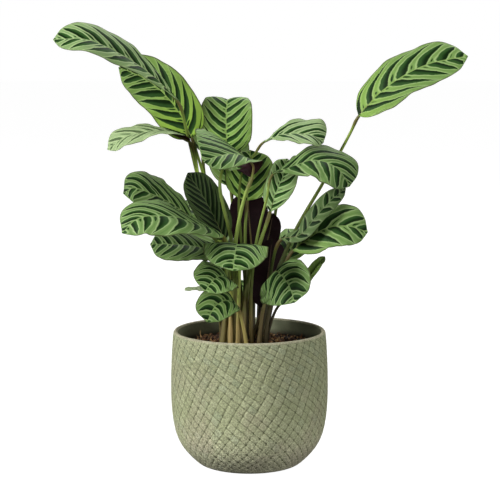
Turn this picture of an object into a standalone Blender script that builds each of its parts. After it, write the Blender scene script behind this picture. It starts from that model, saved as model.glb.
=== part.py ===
"""A potted calathea: a turned pot, the soil that fills it, and one solid for each leaf with its stalk.

The plant faces -Y, +X is to its right, +Z is up, and the origin is the middle of the pot's underside.
Lengths in the tables are millimetres; the scene is in metres.
"""

import bpy
import numpy as np

MM = 0.001

# Pot, turned about Z: (radius, height) up the outside, over the rim and down the inside
POT_PROFILE = [
    (0, 0), (45, 0), (49, 1.5), (58, 9.5), (65.5, 19), (70.5, 30), (73.6, 45), (75, 62),
    (75.2, 78), (74.8, 96), (74, 112), (73.2, 123), (72.6, 127.4), (71.4, 129), (69.8, 129),
    (68.6, 127.6), (68.2, 122), (68.8, 110), (69.8, 92), (70, 70), (68.4, 45), (65, 30),
    (59, 17.5), (50, 8.5), (40, 6), (0, 6),
]
POT_SIDES = 40

# Soil, a solid that fills the pot below the rim
GAP = 0.3
SOIL_TOP = 114.0
SOIL_WALL = [(39.8, 6.3), (49.7, 8.9), (58.6, 17.8), (64.6, 30), (68, 45), (69.6, 70),
             (69.4, 92), (68.4, 110), (68, 113)]
SOIL_RINGS = [54, 40, 26, 12]
SOIL_SIDES = 40
HOLE_FLOOR = 98.0
HOLE_SIDES = 8

# Leaves
STALK_FOOT = 98.4
STALK_STRAIGHT = 117.0
STALK_STEP = 36.0
BLADE_RINGS = [0, 0.03, 0.09, 0.19, 0.31, 0.44, 0.57, 0.70, 0.81, 0.90, 0.96, 1.0]
BLADE_THICK = 0.8
RIB_DEPTH = 0.7
OUTLINE_U = [0, 0.02, 0.06, 0.13, 0.25, 0.40, 0.58, 0.74, 0.85, 0.92, 0.965, 1]
OUTLINE_W = [0.06, 0.26, 0.50, 0.73, 0.92, 0.99, 1.0, 0.95, 0.80, 0.58, 0.28, 0.02]
ACROSS = np.array([-1.0, -0.5, 0.0, 0.5, 1.0])
RING_ANGLES = np.radians([162, 126, 90, 54, 18, -18, -54, -90, -126, -162])

LEAVES = []


def leaf(name, foot, by, rib, width, faces, fold=(12, 12), curl=25, sides=(1, 1), belly=1.0,
         wave=0.05, waves=2.5, phase=0.0, thick=(2.4, 1.4)):
    """foot: where the stalk enters the soil. by: points it passes. rib: the midrib, base to tip.

    faces: where the upper side looks, at the base, (optionally in the middle) and at the tip.
    fold: how far the left and right halves rise from the midrib, in degrees, and curl back down.
    sides: width of the left and right halves against half of the width. belly: above 1 the widest
    point moves to the tip. thick: radius of the stalk at the soil and at the blade.
    """
    LEAVES.append(dict(name=name, foot=foot, by=by, rib=rib, width=width, faces=faces, fold=fold,
                       curl=curl, sides=sides, belly=belly, wave=wave, waves=waves, phase=phase,
                       thick=thick))


# Tall leaves
leaf("leaf_top_left_long", (-20, 18), [(-14, 18, 157), (-35, 18, 230), (-46, 11, 263), (-58, 4, 313)],
     [(-67, -6, 348), (-89, -24, 371), (-119, -42, 392), (-147, -52, 404), (-177, -52, 404)],
     40, [(0.3, -0.62, 0.72), (0.3, -0.75, 0.6)], fold=(20, 8), sides=(0.85, 1.1), belly=1.8,
     thick=(2.9, 1.3))
leaf("leaf_top_left_broad", (-13, 15), [(-8, 15, 157), (-40, 18, 263)],
     [(-55, 12, 312), (-65, 14, 333), (-80, 19, 352), (-99, 26, 367), (-125, 32, 378)],
     54, [(0.1, -0.95, 0.3), (0.1, -0.9, 0.4)], fold=(5, 46), curl=15, sides=(0.88, 0.95),
     belly=0.8, thick=(2.9, 1.3))
leaf("leaf_left_pale", (-19, 9), [(-13, 9, 157), (-33, 12, 230), (-46, 4, 263)],
     [(-56, -6, 310), (-76, -14, 319), (-102, -20, 318), (-118, -22, 313), (-132, -22, 303)],
     38, [(0.1, 0.12, 1), (-0.2, -0.6, 0.75)], fold=(18, 18), curl=30)
leaf("leaf_centre_upright", (-9, 5), [(-8, 4, 157), (-17, -3, 216), (-28, -3, 270)],
     [(-21, 14, 297), (-22, 11, 315), (-22, 14, 336), (-21, 24, 347), (-20, 40, 345)],
     51, [(0, -1, 0.15), (0, 0.2, 1)], fold=(22, 22), curl=40, belly=0.8, thick=(3.2, 1.4))
leaf("leaf_behind_upright", (-12, 22), [(-9, 22, 157), (-41, 26, 263)],
     [(-45, 24, 298), (-44, 26, 321), (-43, 32, 343)],
     30, [(-0.75, -0.65, 0), (-0.75, -0.65, 0)], fold=(15, 15), curl=20)
leaf("leaf_centre_arched", (-16, -6), [(-14, -7, 167), (-13, -10, 215), (-5, -8, 256)],
     [(2, -4, 276), (3, -8, 288), (-9, -22, 298), (-25, -44, 299), (-42, -62, 295)],
     54, [(-0.5, 0.8, 0.3), (0.35, -0.3, 0.9), (0.6, -0.6, 0.5)], fold=(10, 10), curl=20,
     sides=(0.6, 1.35), belly=1.2, thick=(3.4, 1.6))
leaf("leaf_centre_back", (-4, 14), [(-3, 13, 167), (-4, 12, 225)],
     [(-2, 14, 252), (-1, 16, 267), (0, 20, 282), (1, 30, 299)],
     46, [(0, -1, 0.2), (0, -0.8, 0.6)], curl=20)
leaf("leaf_top_right", (10, 12), [(18, 15, 157), (42, 18, 218), (71, 10, 271), (95, -4, 318)],
     [(102, -10, 334), (120, -14, 354), (141, -18, 370), (166, -22, 382), (201, -24, 389)],
     46, [(-0.35, -0.75, 0.55), (-0.15, -0.75, 0.6)], fold=(10, 10), sides=(1.1, 1),
     thick=(2.9, 1.3))
leaf("leaf_right_small", (-4, 20), [(-4, 19, 167), (-10, 8, 251), (-6, 4, 282), (5, 2, 297)],
     [(13, 0, 309), (30, -8, 316), (47, -14, 317), (60, -18, 315), (69, -18, 309)],
     42, [(0, -0.45, 0.9), (0.5, -0.45, 0.75)], fold=(34, 8), sides=(1, 0.8), belly=2.2,
     thick=(2.2, 1.1))
leaf("leaf_right_drooping", (2, -4), [(1.5, -8, 167), (7, -9, 218), (16, -9, 255)],
     [(22, -8, 280), (41, -14, 287), (61, -20, 293), (81, -26, 286), (93, -28, 269)],
     46, [(-0.1, -0.5, 0.85), (0.45, -0.6, 0.6)], fold=(20, 5), curl=30, belly=2.0,
     thick=(2.2, 1.1))
leaf("leaf_right_narrow", (-7, -5), [(-4, -3, 160), (4, 0, 194)],
     [(20, 6, 242), (24, 6, 257), (31, 8, 274), (36, 12, 292)],
     30, [(0.25, -0.95, 0), (0.25, -0.95, 0)], fold=(18, 18), curl=20, belly=1.3, thick=(3.8, 1.6))

# Leaves to the right
leaf("leaf_right_folded", (9, 3), [(16, 5, 157)],
     [(30, -6, 218), (48, -17, 223), (63, -20, 241), (77, -12, 255), (91, -2, 265)],
     36, [(-0.3, -0.5, 0.6), (0.1, -0.75, 0.4)], curl=30, sides=(0.6, 0.48))
leaf("leaf_right_broad", (15, -2), [(21, -2, 157)],
     [(41, 0, 206), (56, -8, 218), (71, -14, 228), (91, -18, 231), (111, -16, 225)],
     46, [(-0.25, -0.8, 0.6), (0.2, -0.8, 0.6)], sides=(1.05, 0.95), belly=1.3)
leaf("leaf_front_right", (9, -10), [(13, -10, 150)],
     [(25, -11, 188), (31, -24, 184), (37, -37, 177), (42, -46, 163)],
     56, [(-0.6, -0.4, 0.7), (-0.45, -0.8, 0.4)], curl=20, sides=(0.85, 1.1))
leaf("leaf_right_rolled", (17, 12), [(21, 13, 135), (29, 14, 151)],
     [(49, 14, 163), (60, 10, 182), (72, 6, 199)],
     16, [(-0.6, -0.6, -0.4), (-0.6, -0.6, -0.4)], fold=(60, 60), curl=20, thick=(1.9, 1.1))

# Leaves to the left
leaf("leaf_left_upper", (-26, 3), [(-19, 0, 157), (-22, -1, 188), (-30, -11, 214)],
     [(-53, -15, 238), (-73, -24, 253), (-92, -31, 263), (-107, -33, 268), (-117, -31, 263)],
     48, [(0.1, -0.5, 0.85), (-0.2, -0.75, 0.6)], curl=30)
leaf("leaf_left_broad", (-25, -5), [(-21, -7, 157), (-22, -9, 185), (-23, -9, 206)],
     [(-25, -19, 223), (-48, -44, 236), (-73, -64, 245), (-100, -72, 244), (-115, -74, 231)],
     50, [(0.05, -0.4, 0.9), (-0.35, -0.7, 0.6)], curl=30, belly=1.2, thick=(3.4, 1.5))
leaf("leaf_left_under", (-27, 11), [(-22, 7, 167)],
     [(-33, -2, 206), (-56, -14, 212), (-74, -20, 214), (-93, -20, 214)],
     42, [(0, -0.5, 0.85), (-0.2, -0.7, 0.65)], fold=(14, 14), curl=30)
leaf("leaf_left_inner", (-18, 2), [(-13, 3, 167)],
     [(-24, 9, 215), (-34, 4, 238), (-46, -2, 261), (-58, -6, 280)],
     40, [(0.1, -0.95, 0.2), (0.1, -0.95, 0.2)], fold=(15, 15), curl=20, sides=(0.8, 0.85))
leaf("leaf_left_edge_on", (-27, 19), [(-29, 14, 140)],
     [(-31, 9, 161), (-46, 7, 167), (-62, 2, 167)],
     24, [(0.1, 0.02, 1), (0.1, 0.02, 1)], fold=(8, 8), curl=10, thick=(1.9, 1.1))

# Low leaves at the front
leaf("leaf_front_middle", (-11, -13), [(-10, -14, 167)],
     [(-9, -16, 209), (-11, -34, 216), (-13, -56, 212), (-15, -71, 196)],
     60, [(0, -0.3, 0.95), (0, -0.9, 0.3)], fold=(9, 9), curl=25)
leaf("leaf_front_left", (-18, -13), [(-18, -11, 152)],
     [(-18, -18, 179), (-25, -32, 186), (-33, -46, 184), (-41, -57, 175)],
     42, [(0.3, -0.4, 0.9), (-0.1, -0.9, 0.3)], fold=(16, 16), curl=20)
leaf("leaf_front_low", (-3, -13), [(-7, -17, 140)],
     [(-12, -23, 157), (-20, -33, 163), (-32, -46, 159), (-39, -54, 146)],
     36, [(0.3, -0.4, 0.9), (-0.1, -0.9, 0.3)], fold=(16, 16), curl=20, thick=(2.1, 1.3))

# Leaves inside and behind, their undersides to the front
leaf("leaf_inner_back", (-4, 27), [(-5, 27, 160)],
     [(2, 26, 203), (0, 34, 229), (-2, 42, 259)],
     38, [(0, 0.95, 0.1), (0, 0.95, 0.1)], curl=20)
leaf("leaf_inner_low", (3, 17), [],
     [(13, 18, 147), (18, 26, 178), (22, 34, 213)],
     34, [(0.1, 0.95, 0.1), (0.1, 0.95, 0.1)], curl=20)
leaf("leaf_inner_small", (10, 24), [(11, 34, 157)],
     [(12, 44, 188), (19, 48, 214), (23, 50, 236)],
     22, [(0.3, 0.9, 0.1), (0.3, 0.9, 0.1)], curl=20, thick=(1.9, 1.1))
leaf("leaf_rear_left", (-11, 29), [(-14, 32, 150)],
     [(-24, 44, 192), (-40, 66, 215), (-60, 96, 222), (-76, 124, 208)],
     46, [(-0.2, 0.1, 1), (-0.3, 0.5, 0.8)])
leaf("leaf_rear_right", (16, 19), [(22, 28, 150)],
     [(34, 44, 189), (48, 66, 209), (66, 96, 213), (82, 122, 199)],
     46, [(0.2, 0.1, 1), (0.3, 0.5, 0.8)])
leaf("leaf_rear_high", (-11, 36), [(-12, 40, 180), (-16, 48, 235)],
     [(-18, 52, 262), (-20, 62, 288), (-24, 82, 308), (-27, 106, 312)],
     44, [(0, -0.3, 1), (0, 0.3, 1)])
leaf("leaf_rear_middle", (-3, 34), [(0, 44, 160)],
     [(2, 58, 188), (4, 82, 212), (8, 110, 218), (10, 138, 202)],
     40, [(0, 0, 1), (0, 0.5, 0.8)])
leaf("leaf_rear_left_upper", (-19, 26), [(-19, 26, 170)],
     [(-30, 34, 214), (-48, 54, 238), (-66, 80, 244), (-82, 104, 234)],
     42, [(-0.2, 0.1, 1), (-0.4, 0.4, 0.8)])
leaf("leaf_rear_right_upper", (9, 32), [(11, 50, 165), (22, 60, 215), (29, 57, 252)],
     [(38, 56, 276), (56, 72, 287), (76, 92, 283), (90, 108, 268)],
     42, [(0.1, 0, 1), (0.4, 0.4, 0.8)])
leaf("leaf_rear_top", (3, 27.5), [(4, 38, 170), (2, 48, 225), (-4, 52, 262)],
     [(-10, 48, 298), (-14, 52, 314), (-19, 64, 329), (-24, 84, 334)],
     40, [(0, -0.3, 1), (0, 0.3, 1)])
leaf("leaf_rear_low", (3, 38), [(3, 47, 130)],
     [(2, 62, 152), (0, 80, 162), (-3, 100, 160), (-5, 118, 144)],
     38, [(0, 0, 1), (0, 0.5, 0.8)])


def unit(v):
    return v / np.linalg.norm(v, axis=-1, keepdims=True)


def hermite(x, xs, ys):
    """A smooth curve through the points that makes no hump between them."""
    x, xs, ys = (np.asarray(a, float) for a in (x, xs, ys))
    d = np.diff(ys) / np.diff(xs)
    both = d[:-1] * d[1:]
    inner = np.where(both > 0, 2 * both / (d[:-1] + d[1:] + 1e-12), 0)
    m = np.concatenate([d[:1], inner, d[-1:]])
    i = np.clip(np.searchsorted(xs, x, side="right") - 1, 0, len(xs) - 2)
    h = xs[i + 1] - xs[i]
    t = (x - xs[i]) / h
    return ((1 + 2 * t) * (1 - t) ** 2 * ys[i] + t * (1 - t) ** 2 * h * m[i]
            + t * t * (3 - 2 * t) * ys[i + 1] + t * t * (t - 1) * h * m[i + 1])


def spline(points, before=None, after=None, steps=40):
    """Centripetal spline through the points, sampled finely. before and after steer its ends."""
    p = np.asarray(points, float)
    bend = p[2] - 2 * p[1] + p[0] if len(p) == 3 else np.zeros(3)
    first = p[0] - (p[1] - p[0]) + 0.5 * bend if before is None else np.asarray(before, float)
    last = p[-1] + (p[-1] - p[-2]) + 0.5 * bend if after is None else np.asarray(after, float)
    p = np.vstack([first, p, last])
    k = np.concatenate([[0], np.cumsum(np.sqrt(np.linalg.norm(np.diff(p, axis=0), axis=1)))])
    found = []
    for i in range(1, len(p) - 2):
        t = np.linspace(k[i], k[i + 1], steps, endpoint=i == len(p) - 3)[:, None]
        a1 = ((k[i] - t) * p[i - 1] + (t - k[i - 1]) * p[i]) / (k[i] - k[i - 1])
        a2 = ((k[i + 1] - t) * p[i] + (t - k[i]) * p[i + 1]) / (k[i + 1] - k[i])
        a3 = ((k[i + 2] - t) * p[i + 1] + (t - k[i + 1]) * p[i + 2]) / (k[i + 2] - k[i + 1])
        b1 = ((k[i + 1] - t) * a1 + (t - k[i - 1]) * a2) / (k[i + 1] - k[i - 1])
        b2 = ((k[i + 2] - t) * a2 + (t - k[i]) * a3) / (k[i + 2] - k[i])
        found.append(((k[i + 1] - t) * b1 + (t - k[i]) * b2) / (k[i + 1] - k[i]))
    return np.vstack(found)


def along(path, shares):
    """Points at these shares of the path's length."""
    s = np.concatenate([[0], np.cumsum(np.linalg.norm(np.diff(path, axis=0), axis=1))])
    want = np.asarray(shares) * s[-1]
    return np.stack([np.interp(want, s, path[:, c]) for c in range(3)], axis=1), s[-1]


def blade_rings(spec):
    """Rings of ten points round the blade, with the path, the sideways and the upward directions."""
    u = np.array(BLADE_RINGS)
    fine = spline(spec["rib"])
    mid, _ = along(fine, u)
    ahead, _ = along(fine, np.minimum(u + 0.01, 1))
    behind, _ = along(fine, np.maximum(u - 0.01, 0))
    tangent = unit(ahead - behind)
    given = unit(np.array(spec["faces"], float))
    knots = np.linspace(0, 1, len(given)) if len(given) == 2 else np.array([0, 0.4, 1])
    face = np.stack([hermite(u, knots, given[:, c]) for c in range(3)], axis=1)
    up = unit(face - (face * tangent).sum(axis=1, keepdims=True) * tangent)
    right = np.cross(tangent, up)
    half = spec["width"] / 2 * hermite(u ** spec["belly"], OUTLINE_U, OUTLINE_W)
    half = np.maximum(half, 0.4)
    steep = np.clip(half / 6, 0, 1)
    top = np.zeros((len(u), 5, 3))
    under = np.zeros((len(u), 5, 3))
    for j, across in enumerate(ACROSS):
        which = 0 if across < 0 else 1
        sign = -1 if across < 0 else 1
        share = abs(across)
        fold = np.radians(spec["fold"][which]) * steep
        curl = np.radians(spec["curl"])
        reach = half * spec["sides"][which]
        outward = (np.sin(fold) - np.sin(fold - curl * share)) / curl
        rise = (np.cos(fold - curl * share) - np.cos(fold)) / curl
        turn = 2 * np.pi * spec["waves"] * u + spec["phase"] + (1.3 if across < 0 else 0)
        ripple = spec["wave"] * np.sin(turn) * share ** 2 * steep
        place = mid + right * (sign * reach * outward)[:, None]
        place = place + up * (reach * (rise + ripple))[:, None]
        lean = np.zeros(len(u)) if across == 0 else fold - curl * share
        normal = up * np.cos(lean)[:, None] - right * (sign * np.sin(lean))[:, None]
        deeper = RIB_DEPTH * (1 - u) * np.clip(half / 4, 0, 1) if across == 0 else np.zeros(len(u))
        top[:, j] = place + normal * BLADE_THICK / 2
        under[:, j] = place - normal * (BLADE_THICK / 2 + deeper)[:, None]
    return np.concatenate([top, under[:, ::-1]], axis=1), fine, right[0], up[0]


def stalk_rings(spec, rib, right, up):
    """Round rings from the foot of the stalk up to just under the blade."""
    x, y = spec["foot"]
    start = np.array([x, y, STALK_STRAIGHT])
    path = spline([start] + [np.array(p, float) for p in spec["by"]] + [rib[0]],
                  before=start - (0, 0, 20), after=rib[0] + 18 * unit(rib[3] - rib[0]))
    length = np.linalg.norm(np.diff(path, axis=0), axis=1).sum()
    count = max(2, int(round(length / STALK_STEP)))
    shares = np.append(np.linspace(0, 1, count, endpoint=False), 1 - 2.5 / length)
    shares = np.unique(shares[(shares < 0.93) | (shares > 1 - 2.6 / length)])
    mid, _ = along(path, shares)
    ahead, _ = along(path, np.minimum(shares + 0.01, 1))
    behind, _ = along(path, np.maximum(shares - 0.01, 0))
    tangent = unit(ahead - behind)
    mid = np.vstack([[x, y, STALK_FOOT], mid])
    tangent = np.vstack([[0, 0, 1], tangent])
    tangent[1] = (0, 0, 1)
    thick = np.append(spec["thick"][0], hermite(shares, [0, 0.25, 0.7, 1], np.interp(
        [0, 0.45, 0.85, 1], [0, 1], spec["thick"])))
    rings = []
    for centre, direction, radius in list(zip(mid, tangent, thick))[::-1]:
        up = unit(up - (up @ direction) * direction)
        right = np.cross(direction, up)
        spokes = np.cos(RING_ANGLES)[:, None] * right + np.sin(RING_ANGLES)[:, None] * up
        rings.append(centre + radius * spokes)
    return np.array(rings[::-1])


def skin(rings):
    """Triangles over rings of ten points, split alike on the upper and lower faces."""
    count, around = rings.shape[:2]
    faces = []
    for i in range(count - 1):
        for j in range(around):
            k = (j + 1) % around
            a, b, c, d = i * around + j, (i + 1) * around + j, (i + 1) * around + k, i * around + k
            if j < around // 2:
                faces += [(a, c, b), (a, d, c)]
            else:
                faces += [(a, d, b), (d, c, b)]
    last = (count - 1) * around
    for j in range(around // 2 - 1):
        a, b, c, d = j, j + 1, around - 2 - j, around - 1 - j
        faces += [(a, c, b), (a, d, c)]
        faces += [(last + a, last + b, last + c), (last + a, last + c, last + d)]
    return faces


def material(name, colour, roughness):
    made = bpy.data.materials.new(name)
    made.use_nodes = True
    shader = made.node_tree.nodes["Principled BSDF"]
    shader.inputs["Base Color"].default_value = (*colour, 1)
    shader.inputs["Roughness"].default_value = roughness
    return made


def add_object(name, points, faces, look):
    mesh = bpy.data.meshes.new(name)
    mesh.from_pydata([tuple(float(c) * MM for c in p) for p in points], [], faces)
    mesh.validate()
    mesh.materials.append(look)
    obj = bpy.data.objects.new(name, mesh)
    bpy.context.scene.collection.objects.link(obj)
    return obj


def turned(profile, sides):
    """A closed solid turned about Z from (radius, height) points that start and end on the axis."""
    points = [(0, 0, profile[0][1])]
    angles = np.linspace(0, 2 * np.pi, sides, endpoint=False)
    for radius, height in profile[1:-1]:
        points += [(radius * np.cos(a), radius * np.sin(a), height) for a in angles]
    points.append((0, 0, profile[-1][1]))
    faces = []
    rows = len(profile) - 2
    for j in range(sides):
        k = (j + 1) % sides
        faces.append((0, 1 + k, 1 + j))
        for i in range(rows - 1):
            a, b = 1 + i * sides + j, 1 + i * sides + k
            faces.append((a, b, b + sides, a + sides))
        faces.append((len(points) - 1, 1 + (rows - 1) * sides + j, 1 + (rows - 1) * sides + k))
    return points, faces


def soil_profile():
    top = [(radius, SOIL_TOP) for radius in [66.5] + SOIL_RINGS]
    return [(0, SOIL_WALL[0][1])] + SOIL_WALL + top + [(0, SOIL_TOP)]


def uneven(x, y):
    """Height of the soil's surface above its mean."""
    mound = 1.6 * np.exp(-((x + 3) ** 2 + (y - 8) ** 2) / 900)
    return mound + 0.7 * np.sin(x / 9 + 1) * np.cos(y / 11) + 0.4 * np.sin((x - y) / 5)


def make_pot():
    points, faces = turned(POT_PROFILE, POT_SIDES)
    add_object("pot", points, faces, material("sage_pot", (0.36, 0.40, 0.26), 0.85))


def make_soil():
    points, faces = turned(soil_profile(), SOIL_SIDES)
    raised = [(x, y, z + uneven(x, y)) if z == SOIL_TOP and np.hypot(x, y) < 60 else (x, y, z)
              for x, y, z in points]
    soil = add_object("soil", raised, faces, material("soil_dark", (0.03, 0.017, 0.01), 0.95))
    hole_points, hole_faces = [], []
    angles = np.linspace(0, 2 * np.pi, HOLE_SIDES, endpoint=False)
    for spec in LEAVES:
        x, y = spec["foot"]
        radius = (spec["thick"][0] + GAP) / np.cos(np.pi / HOLE_SIDES)
        first = len(hole_points)
        for height in (HOLE_FLOOR, SOIL_TOP + 20):
            hole_points += [(x + radius * np.cos(a), y + radius * np.sin(a), height)
                            for a in angles]
        for j in range(HOLE_SIDES):
            k = (j + 1) % HOLE_SIDES
            hole_faces.append((first + j, first + k, first + HOLE_SIDES + k,
                               first + HOLE_SIDES + j))
        hole_faces.append(tuple(first + j for j in reversed(range(HOLE_SIDES))))
        hole_faces.append(tuple(first + HOLE_SIDES + j for j in range(HOLE_SIDES)))
    cutter = add_object("stalk_holes", hole_points, hole_faces, soil.data.materials[0])
    cutter.hide_render = True
    cutter.hide_set(True)
    cut = soil.modifiers.new("holes", "BOOLEAN")
    cut.operation = "DIFFERENCE"
    cut.solver = "EXACT"
    cut.object = cutter


def make_leaves():
    for spec in LEAVES:
        blade, rib, right, up = blade_rings(spec)
        stalk = stalk_rings(spec, rib, right, up)
        rings = np.concatenate([stalk, blade])
        look = material(spec["name"] + "_green", (0.16, 0.33, 0.09), 0.5)
        add_object(spec["name"], rings.reshape(-1, 3), skin(rings), look)


for old in list(bpy.data.objects):
    bpy.data.objects.remove(old)
make_pot()
make_soil()
make_leaves()
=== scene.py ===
"""A potted calathea, dressed: thin leaves with painted bars, a latticed pot and loose soil.

The plant faces -Y, +X is to its right, +Z is up, and the origin is the middle of the pot's
underside. Lengths in the tables are millimetres; the scene is in metres.
"""

import bpy
import numpy as np
from mathutils import Euler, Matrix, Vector


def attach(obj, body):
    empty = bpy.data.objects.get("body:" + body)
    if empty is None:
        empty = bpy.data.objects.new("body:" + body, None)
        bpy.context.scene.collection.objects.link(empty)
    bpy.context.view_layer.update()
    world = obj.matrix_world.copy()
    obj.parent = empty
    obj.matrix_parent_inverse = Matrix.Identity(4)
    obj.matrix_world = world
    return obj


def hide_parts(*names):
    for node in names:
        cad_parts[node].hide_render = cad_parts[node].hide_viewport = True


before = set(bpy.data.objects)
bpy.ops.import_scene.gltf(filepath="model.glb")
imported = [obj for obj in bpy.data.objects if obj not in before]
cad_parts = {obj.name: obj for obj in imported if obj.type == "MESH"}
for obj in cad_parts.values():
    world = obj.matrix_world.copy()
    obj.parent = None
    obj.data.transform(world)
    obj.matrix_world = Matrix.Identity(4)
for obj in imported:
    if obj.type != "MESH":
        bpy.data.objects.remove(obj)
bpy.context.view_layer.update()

MM = 0.001
ROOT = "root"
SPLINE_STEPS = 40

# Camera, light and stage
EYE = (0.0, -1.5, 0.4)
AIM = (0.0005, 0.0, 0.206)
LENS = 114.63
SENSOR = 36.0
SKY_LIGHT = 0.4
GROUND_LIGHT = 0.34
# Place and width in metres, power in watts
LIGHTS = {
    "key_light": ((-2.8, -1.3, 1.6), 1.4, 142),
    "front_light": ((-0.5, -2.8, 1.1), 1.8, 18),
    "fill_light": ((2.6, -1.9, 0.6), 2.0, 56),
    "top_light": ((0.5, 1.6, 2.2), 1.6, 50),
}
LIGHTS_AIM = (0, 0, 0.2)
STAGE_RADIUS = 16.0  # metres
FLOOR_SIDES = 64

# Pot, turned about Z: (radius, height) up the outside, over the rim and down the inside
POT_OUTSIDE = [
    (45, 0), (49, 1.5), (58, 9.5), (65.5, 19), (70.5, 30), (73.6, 45), (75, 62), (75.2, 78),
    (74.8, 96), (74, 112), (73.2, 123), (72.6, 127.4),
]
POT_RIM = [(72.6, 127.4), (71.4, 129), (69.8, 129), (68.6, 127.6)]
POT_INSIDE = [(68.6, 127.6), (68.2, 122), (68.8, 110), (69.8, 92), (70, 70), (68.4, 45), (65, 30),
              (59, 17.5), (50, 8.5), (40, 6)]

# Lattice on the pot: ridged cells between two families of spiral grooves
STEEP_COUNT = 48
FLAT_COUNT = 46
SLOPE_HEIGHTS = [10, 62, 127]
STEEP_SLOPES = [50, 60, 65]
FLAT_SLOPES = [50, 38, 28]
GROOVE_DEPTH = 0.3
GROOVE_WIDTH = 0.62
PIT_DEPTH = 0.4
CELL_COLUMNS = [0, 0.05, 0.1, 0.18, 0.3, 0.42, 0.58, 0.7, 0.82, 0.9, 0.95]
OUTSIDE_ROWS = 150

# Soil, with bark and crumbs strewn on it
SOIL_TOP = 114.0
SOIL_RADIUS = 68.2
SOIL_WALL = [(68.0, 108.0), (68.2, 103.0)]
SOIL_SIDES = 260
SOIL_RINGS = 78
CHIP_DRAWS = 1500
LARGE_CHIPS = 420
CHIP_SEED = 5
# Fine pale roots that come out of the soil: where, and how they are built
FIBRE_FEET = ((-50, 3), (-47, 8), (-36, 13))
FIBRE_SIDES = 5
FIBRE_RINGS = 24
FIBRE_RADII = (0.42, 0.16)
FIBRE_SEED = 9
FIBRE_TONE = (0.9, 0.9)

# Stalks
STALK_FOOT = 98.4
STALK_STRAIGHT = 117.0
STALK_SUNK = 16.0
STALK_STEP = 3.5
TUBE_SIDES = 12
RIB_RINGS = 44
RIB_END = 0.9
# Painted shade: stalks are darker toward the back and right of the middle, where they stand in
# shade: depths and shades, and the shade of those right of the middle
STALK_PAINTED_SHADES = ((-16.0, 3.0), (0.92, 0.22))
STALK_RIGHT_FROM = 3
STALK_RIGHT_PAINTED_SHADE = 0.4

# Blades
BLADE_STEPS = 84
BLADE_THICK = 0.45
PLEAT = 0.16
FURROW_DEPTH = 0.35
FURROW_WIDTH = 0.9
WAVE = 0.05
WAVES = 2.5
HALF_ACROSS = [0.03, 0.08, 0.15, 0.23, 0.31, 0.39, 0.47, 0.55, 0.63, 0.71, 0.79, 0.87, 0.94,
               0.985, 1.0]
OUTLINE_U = [0, 0.02, 0.06, 0.13, 0.25, 0.4, 0.58, 0.74, 0.85, 0.92, 0.965, 1]
OUTLINE_W = [0.06, 0.26, 0.5, 0.73, 0.92, 0.99, 1.0, 0.95, 0.8, 0.58, 0.28, 0.02]
# How far apart two leaves lie in the map of bars, so that each draws its own chances
MAP_STEP = 24.0
# Order of a leaf's materials
UPPER, UNDER, STALK = range(3)

LEAVES = []


def leaf(name, foot, by, rib, width, faces, fold=(12, 12), curl=25, sides=(1, 1), belly=1.0,
         thick=(2.4, 1.4), marks=(7.0, 0.6, 0.6, 1.0, 0.88, 0.2), uneven=0.0, under=1.0,
         pale=(0.0, 1.0)):
    """foot: where the stalk enters the soil. by: points it passes. rib: the midrib, base to tip.

    faces: where the upper side looks, at the base, (optionally in the middle) and at the tip.
    fold: how far the left and right halves rise from the midrib, in degrees, and curl back down.
    sides: width of the left and right halves against half of the width. belly: above 1 the widest
    point moves to the tip. thick: radius of the stalk at the soil and at the blade.
    marks: bars to a side, how far they sweep to the tip, how much they curve, how full they are,
    brightness, which paints the light and shade that fall on the leaf, and yellowness, which below
    zero is paleness, partly a painted sheen. uneven: how much more the bars sweep in the right
    half, and less in the left. under: painted shade of the underside. pale: how far below the
    blade the stalk starts to be paler, and how much: painted light on a stalk that lies in shade.
    """
    LEAVES.append(dict(name="leaf_" + name, foot=foot, by=by, rib=rib, width=width, faces=faces,
                       fold=fold, curl=curl, sides=sides, belly=belly, thick=thick, marks=marks,
                       uneven=uneven, under=under, pale=pale))


# Tall leaves
leaf("top_left_long", (-20, 18),
     [(-14, 18, 157), (-35, 18, 230), (-46, 11, 263), (-58, 4, 313)],
     [(-67, -6, 348), (-89, -24, 371), (-119, -42, 392), (-147, -52, 404), (-177, -52, 404)],
     40, [(0.3, -0.62, 0.72), (0.3, -0.75, 0.6)], fold=(20, 8), sides=(0.85, 1.1), belly=1.8,
     thick=(2.9, 1.3), marks=(8.5, 1.1, 0.7, 1.35, 1.18, -0.12), pale=(45, 2.9))
# Its strong yellowness is partly painted light shining through the blade
leaf("top_left_broad", (-13, 15), [(-8, 15, 157), (-40, 18, 263)],
     [(-55, 12, 312), (-65, 14, 333), (-80, 19, 352), (-99, 26, 367), (-125, 32, 378)],
     54, [(0.1, -0.95, 0.3), (0.1, -0.9, 0.4)], fold=(5, 46), curl=15, sides=(0.88, 0.95),
     belly=0.8, thick=(2.9, 1.3), marks=(8, 0.7, 0.7, 1.5, 0.86, 1.1), pale=(10, 2.9))
leaf("left_pale", (-19, 9), [(-13, 9, 157), (-33, 12, 230), (-46, 4, 263)],
     [(-56, -6, 310), (-76, -14, 319), (-102, -20, 318), (-118, -22, 313), (-132, -22, 303)],
     38, [(0.1, 0.12, 1), (-0.2, -0.6, 0.75)], fold=(18, 18), curl=30,
     marks=(4.5, 1.4, 0.3, 0.68, 1.18, -0.3), pale=(14, 2.8))
leaf("centre_upright", (-9, 5), [(-8, 4, 157), (-17, -3, 216), (-28, -3, 270)],
     [(-21, 14, 297), (-22, 11, 315), (-22, 14, 336), (-21, 24, 347), (-20, 40, 345)],
     51, [(0, -1, 0.15), (0, 0.2, 1)], fold=(22, 22), curl=40, belly=0.8, thick=(3.2, 1.4),
     marks=(8, 0.45, 0.6, 1.18, 1.2, 0.4))
leaf("behind_upright", (-12, 22), [(-9, 22, 157), (-41, 26, 263)],
     [(-45, 24, 298), (-44, 26, 321), (-43, 32, 343)],
     30, [(-0.75, -0.65, 0)] * 2, fold=(15, 15), curl=20,
     marks=(5, 0.5, 0.6, 1.1, 0.6, 0.3))
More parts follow.
